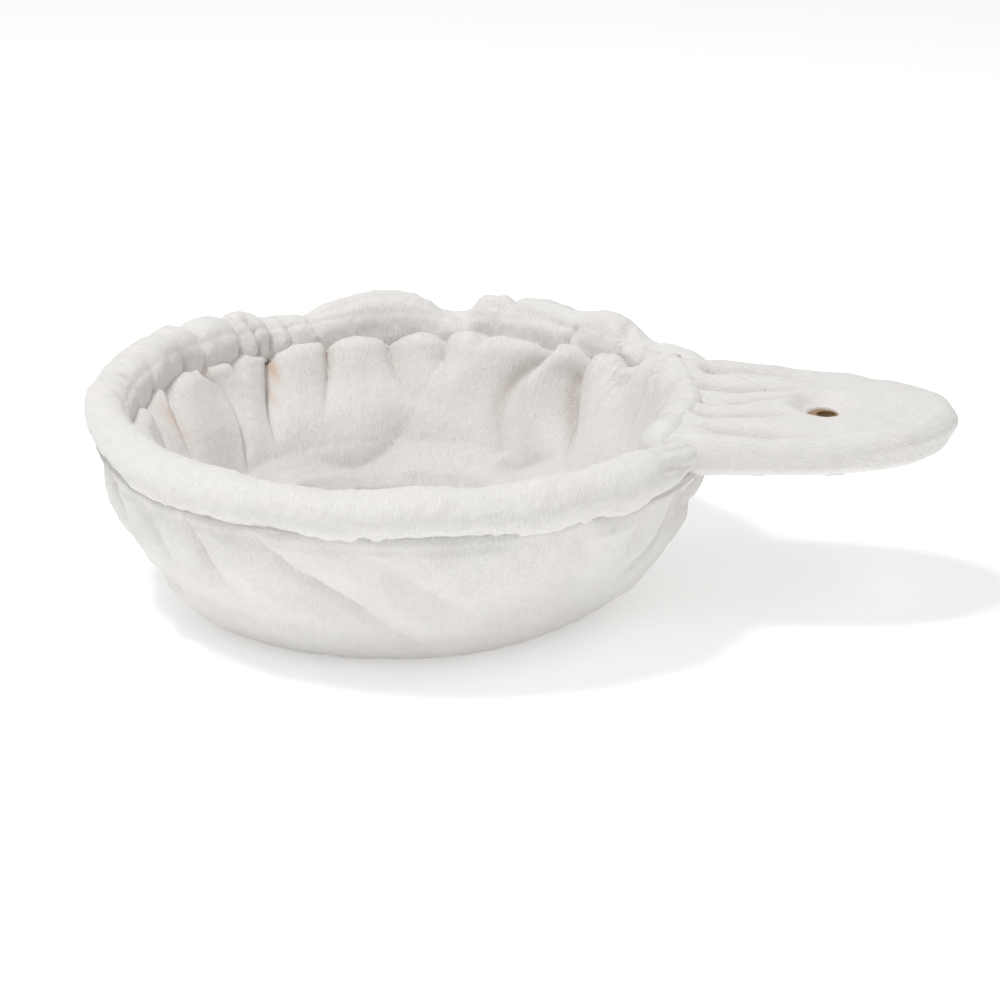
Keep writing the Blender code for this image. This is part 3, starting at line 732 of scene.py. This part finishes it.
def make_rim(material):
    columns, rows = 620, 72
    theta = np.linspace(RIM_START, RIM_END, columns)
    phi = np.arange(rows) * 2 * math.pi / rows
    t, p = np.meshgrid(theta, phi, indexing="ij")
    arc = TUBE_R * np.where(p > RIM_UNDER, p - 2 * math.pi, p)
    height, slide, crease_shade = fold_field(t, arc, np.radians(1) * HOOP_R, RIM_FOLDS)
    up = np.clip(np.sin(p), 0, 1)
    seam = np.exp(-np.abs(p - RIM_SEAM) * TUBE_R / (1.6 * MM))
    radius = TUBE_R + height + crest_height(t) * up**1.5 - 1.0 * MM * seam * (t < 200)
    # slimmer on the outside at the left, and sunk into the tongue's root at the front end
    slim = 2 + 4 * np.clip(-np.sin(p), 0, 1)
    radius -= slim * MM * np.clip(np.cos(p) + 0.6, 0, 1) * np.exp(-(((t - 200) / 24) ** 2))
    sink = ease((t - (RIM_END - 24)) / 24)
    radius *= 1 - 0.32 * sink
    ends = ease(np.minimum(t - RIM_START, RIM_END - t) / 20)
    a = np.radians(t)
    ring = HOOP_R - 3 * MM * sink
    centre = np.stack([HOOP_X + ring * np.cos(a), ring * np.sin(a), np.full(t.shape, HOOP_Z)], -1)
    upward = np.array((0, 0, 1)) * (np.sin(p) * (0.72 + 0.28 * ends))[..., None]
    way = radial(t) * np.cos(p)[..., None] + upward
    plain = centre + way * TUBE_R
    gathered = ease((t - 22) / 25) * ease((200 - t) / 25)
    soft = (0.75 + 0.35 * gathered) * MM * ripple(plain, 26 * MM, SEED + 21)
    soft += 0.8 * MM * ripple(plain, 65 * MM, SEED + 24)
    soft += (0.25 + 0.15 * gathered) * MM * ripple(plain, 11 * MM, SEED + 22)
    soft += 0.2 * MM * ripple(plain, 4 * MM, SEED + 23, 40)
    grid = centre + way * (radius + soft)[..., None] + radial(t + 90) * slide[..., None]
    grid[..., 2] += FRONT_RISE * ease((t - 312) / 25) * (0.3 + 0.7 * up)
    # painted shade along the seam with the lining, joined with the fold valleys' painted shade
    crease_shade = np.maximum(crease_shade, 0.15 * seam)
    uv = np.stack([np.radians(t) * HOOP_R, TUBE_R * p], -1)
    piece = cloth_object(
        "rim_cloth", grid, way, uv, (crease_shade, 0 * crease_shade), around=False, wrap=True, caps=True
    )
    piece.data.materials.append(material)
    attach(piece, "root")
    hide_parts("rim_casing", "rim_foam")
    return piece


# The tongue

# From above: it runs a little past the CAD cover's tip, and its root is an arc inside the hoop
TIP_PAST = 0.8 * MM
NOSE_LENGTH = 0.098
ROOT_R = HOOP_R - 21 * MM
ROOT_SPREAD = 30.0
# How often the outline is averaged, which rounds the corners at its root
CORNER_PASSES = 50
# How round its edge is, and the bolt slot's half sizes along and across
TONGUE_EDGE = 7.2 * MM
SLOT_HALF = (8.5 * MM, 11 * MM)
TONGUE_FOLDS = (
    # ((metres across, metres out from the hoop's middle), ...)
    (((0.042, 0.147), (0.043, 0.160), (0.042, 0.185), (0.036, 0.222)),
     6.0, 12, 1.6, 0.3, 0.2, 0.0),
    (((0.020, 0.147), (0.022, 0.160), (0.019, 0.185), (0.020, 0.214)),
     8.0, 12, 1.4, 0.3, 0.2, 0.0),
    (((-0.003, 0.147), (-0.003, 0.160), (0.002, 0.180), (0.007, 0.203)),
     8.0, 11, 1.4, 0.2, 0.2, 0.2),
    (((-0.027, 0.147), (-0.028, 0.160), (-0.026, 0.185), (-0.020, 0.207)),
     7.0, 12, 1.6, -0.2, 0.2, 0.1),
    (((-0.049, 0.152), (-0.051, 0.168), (-0.053, 0.195), (-0.050, 0.225)),
     5.0, 12, 2.0, -0.2, 0.2, 0.0),
)


def tongue_outline():
    """The tongue from above as (x, y) from the hoop's middle, from the middle of its root round."""
    tip_x, half = TONGUE_HIGH.x - HOOP_X + TIP_PAST, TONGUE_HIGH.y
    nose_x = tip_x - NOSE_LENGTH
    end = math.radians(ROOT_SPREAD)
    arc = [(ROOT_R * math.cos(a), ROOT_R * math.sin(a)) for a in np.linspace(0, end, 28)]
    corner_x, corner_y = arc[-1]
    flank = []
    for t in np.linspace(0, 1, 24)[1:]:
        x = corner_x + (nose_x - corner_x) * t
        flank.append((x, corner_y + (half - corner_y) * (1 - (1 - t) ** 2.2)))
    nose = [(nose_x + NOSE_LENGTH * math.sin(a), half * math.cos(a))
            for a in np.linspace(0, math.pi / 2, 70)[1:]]
    line = np.array(arc + flank + nose)
    line = np.vstack([line, line[-2:0:-1] * (1, -1)])
    for _ in range(CORNER_PASSES):
        line = (np.roll(line, 1, 0) + 2 * line + np.roll(line, -1, 0)) / 4
    return line


def inset(outline, distance):
    """Each point of a closed outline moved inwards."""
    way = np.roll(outline, -1, 0) - np.roll(outline, 1, 0)
    way /= np.linalg.norm(way, axis=1, keepdims=True)
    return outline + np.stack([way[:, 1], -way[:, 0]], -1) * distance[:, None]


def bolt_slot(outline):
    """The cover's slot for the bolt, a drop with its point towards the bowl.

    Each of its points is on the line from the slot's middle to a point of the outline.
    """
    middle = np.array((HOLE_X - HOOP_X - 2 * MM, -3 * MM))
    way = outline - middle
    a = np.arctan2(way[:, 1], way[:, 0])
    pinch = np.where(np.cos(a) > 0, 1, 1 - 0.35 * np.cos(a) ** 2)
    size = 1 / np.hypot(np.cos(a) / SLOT_HALF[0], np.sin(a) / (SLOT_HALF[1] * pinch))
    return middle + np.stack([size * np.cos(a), size * np.sin(a)], -1)


def make_tongue(material):
    outline = tongue_outline()
    low, high = TONGUE_LOW.z - 0.6 * MM, TONGUE_HIGH.z + 0.8 * MM

    def root_rise(x, y):
        return 3.0 * MM * np.exp(-np.clip(np.hypot(x, y) - ROOT_R, 0, None) / (20 * MM))

    top = high + root_rise(*outline.T)
    edge = TONGUE_EDGE + 0.6 * (top - high)
    outward = inset(outline, -1 + 0 * edge) - outline
    plan, heights, ways = [], [], []
    for a in np.linspace(-math.pi / 2, math.pi / 2, 21):
        plan.append(inset(outline, edge * (1 - math.cos(a))))
        centre = (low + edge) if a < 0 else (top - edge)
        heights.append(centre + edge * math.sin(a))
        ways.append(np.column_stack([outward * math.cos(a), np.full(len(outline), math.sin(a))]))
    slot = bolt_slot(outline)
    steps = np.linspace(0, 1, 46)[1:]
    above = [plan[-1] + (slot - plan[-1]) * t for t in steps]
    below = [plan[0] + (slot - plan[0]) * t for t in steps]
    flat = len(steps)
    plan = np.stack(below[::-1] + plan + above, 1)
    z = np.stack([heights[0]] * flat + heights + [heights[-1]] * flat, 1)
    way = np.stack([ways[0]] * flat + ways + [ways[-1]] * flat, 1)
    x, y = plan[..., 0], plan[..., 1]
    z[:, -flat:] = (high + root_rise(x, y))[:, -flat:]
    # pressed down to the board round the slot
    near_slot = np.exp(-((np.linalg.norm(plan - slot[:, None], axis=-1) / (7 * MM)) ** 2))
    near_slot[:, :-flat] = 0
    grid = np.stack([HOOP_X + x, y, z], -1)
    upper = ease((z - low) / (high - low) * 1.6 - 0.3)
    height, _, crease_shade = fold_field(y, x, 1.0, TONGUE_FOLDS)
    crown = 4.4 * MM * np.clip(1 - (y / TONGUE_HIGH.y) ** 4, 0, 1) * upper
    soft = 0.6 * MM * ripple(grid, 28 * MM, SEED + 31)
    soft += 0.25 * MM * ripple(grid, 10 * MM, SEED + 33)
    # the root dips under the lining's roll, and the far edge stands higher
    out = np.hypot(x, y) - ROOT_R
    dip = 4.5 * MM * (1 - ease(out / (10 * MM))) * (np.abs(y) < 0.9 * TONGUE_HIGH.y)
    far = 4.5 * MM * np.exp(-(((y - 0.8 * TONGUE_HIGH.y) / (18 * MM)) ** 2))
    far = far * np.exp(-(((out - 28 * MM) / (50 * MM)) ** 2))
    lift = (height + crown + far - dip) * upper + soft * (0.3 + 0.7 * upper)
    grid = grid + way * lift[..., None]
    grid[..., 2] += (BOARD_HIGH.z + 0.9 * MM - grid[..., 2]) * near_slot
    uv = np.stack([y + np.sign(y) * (high - z), x], -1)
    # painted shade in the grooves, strengthened and kept to the top face
    shades = (np.minimum(2.8 * crease_shade * upper, 1), 0 * crease_shade)
    piece = cloth_object("tongue_cloth", grid, way, uv, shades, wrap=True)
    piece.data.materials.append(material)
    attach(piece, "root")
    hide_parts("tongue_cover", "tongue_under_panel")
    return piece


# The base underneath, and what shows of the frame inside


def make_base(material):
    rings, columns = 30, 180
    t, q = np.meshgrid(round_angles(columns), np.linspace(HUB, 1, rings), indexing="ij")
    grid = ring_points(t, (BASE_R - 0.5 * MM) * q, np.zeros(t.shape))
    quilt = 0.7 * MM * ripple(grid, 30 * MM, SEED + 41)
    quilt += 0.1 * MM * ripple(grid, 4 * MM, SEED + 42, 40)
    grid[..., 2] = np.clip(1.0 * MM + quilt, 0, 3 * MM) * (1 - q**6)
    uv = grid[..., :2].copy()
    piece = cloth_object("base_cloth", grid, 0 * grid - (0, 0, 1), uv, (0 * q, 0 * q))
    fill_centre(piece, columns, rings, -1)
    piece.data.materials.append(material)
    thicken(piece)
    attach(piece, "root")
    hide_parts("base_outer")
    return piece


def plywood():
    """Birch plywood: long grain with darker streaks, and the plies' lines on its edges."""
    n = Nodes("plywood")
    place = n.add("ShaderNodeTexCoord").outputs["Object"]
    grain_place = n.add("ShaderNodeMapping", {"Vector": place, "Scale": (18, 260, 60)}).outputs[0]
    grain = n.noise(grain_place, 1.0, 5.0, 0.6, 0.8)
    pores = n.noise(grain_place, 6.0, 2.0, 0.5)
    height = n.add("ShaderNodeSeparateXYZ", {"Vector": place}).outputs["Z"]
    plies = n.math("PINGPONG", height, 2.0 * MM)
    dark = n.ramp(plies, 0.9 * MM, 1.1 * MM)
    base = n.mix(n.ramp(grain, 0.35, 0.7), (0.22, 0.135, 0.07, 1), (0.42, 0.27, 0.15, 1))
    base = n.tint(base, n.ramp(pores, 0.6, 0.8), 0.5, (0.08, 0.045, 0.022, 1))
    normal = n.add("ShaderNodeNewGeometry").outputs["Normal"]
    level = n.math("ABSOLUTE", n.add("ShaderNodeSeparateXYZ", {"Vector": normal}).outputs["Z"])
    edge = n.math("LESS_THAN", level, 0.5)
    base = n.tint(base, n.math("MULTIPLY", dark, edge), 0.6, (0.10, 0.06, 0.03, 1))
    n.give(n.shader.inputs["Base Color"], base)
    n.give(n.shader.inputs["Roughness"], n.math("MULTIPLY_ADD", grain, 0.2, 0.55))
    bump = n.add("ShaderNodeBump", {"Strength": 0.3, "Distance": 0.0003, "Height": grain})
    n.give(n.shader.inputs["Normal"], bump.outputs[0])
    return n.material


def steel(name, colour, rough, brushed):
    """Zinc-plated steel: cloudy plating with fine drawn lines along x."""
    n = Nodes(name)
    place = n.add("ShaderNodeTexCoord").outputs["Object"]
    drawn = n.add("ShaderNodeMapping", {"Vector": place, "Scale": (40, 900, 900)}).outputs[0]
    lines = n.noise(drawn, 1.0, 2.0, 0.5)
    clouds = n.noise(place, 120.0, 3.0, 0.6)
    base = n.mix(n.ramp(clouds, 0.35, 0.7), shade(colour, 0.8), shade(colour))
    base = n.tint(base, n.ramp(lines, 0.5, 0.8), brushed, (0.85, 0.85, 0.86, 1))
    n.give(n.shader.inputs["Base Color"], base)
    n.shader.inputs["Metallic"].default_value = 1.0
    n.give(n.shader.inputs["Roughness"], n.math("MULTIPLY_ADD", clouds, 0.2, rough))
    bump = n.add("ShaderNodeBump", {"Strength": 0.2, "Distance": 0.0001, "Height": lines})
    n.give(n.shader.inputs["Normal"], bump.outputs[0])
    return n.material


def dress_frame_nodes():
    wood = plywood()
    rod = steel("rod_steel", (0.55, 0.55, 0.56), 0.35, 0.3)
    plate = steel("plate_steel", (0.62, 0.62, 0.60), 0.3, 0.4)
    screw = steel("screw_steel", (0.70, 0.66, 0.50), 0.28, 0.2)
    wire = steel("staple_steel", (0.60, 0.60, 0.62), 0.3, 0.3)
    kinds = (("tongue_board", wood), ("hoop_rod", rod), ("rod_plate", plate),
             ("plate_screw", screw), ("staple", wire))
    for name, node in frame["nodes"].items():
        for start, material in kinds:
            if name.startswith(start):
                node.data.materials.clear()
                node.data.materials.append(material)


make_camera()
make_studio()
dress_frame_nodes()
cloth_material = plush("plush_cloth", PLUSH, nap=(1500, 280), streak=0.5)
backing_material = plush("backing_cloth", BACKING, nap=(420, 420), streak=0.3)
make_rim(cloth_material)
make_lining(cloth_material)
make_bowl_floor(cloth_material)
make_outer_wall(cloth_material)
make_tongue(cloth_material)
make_base(backing_material)
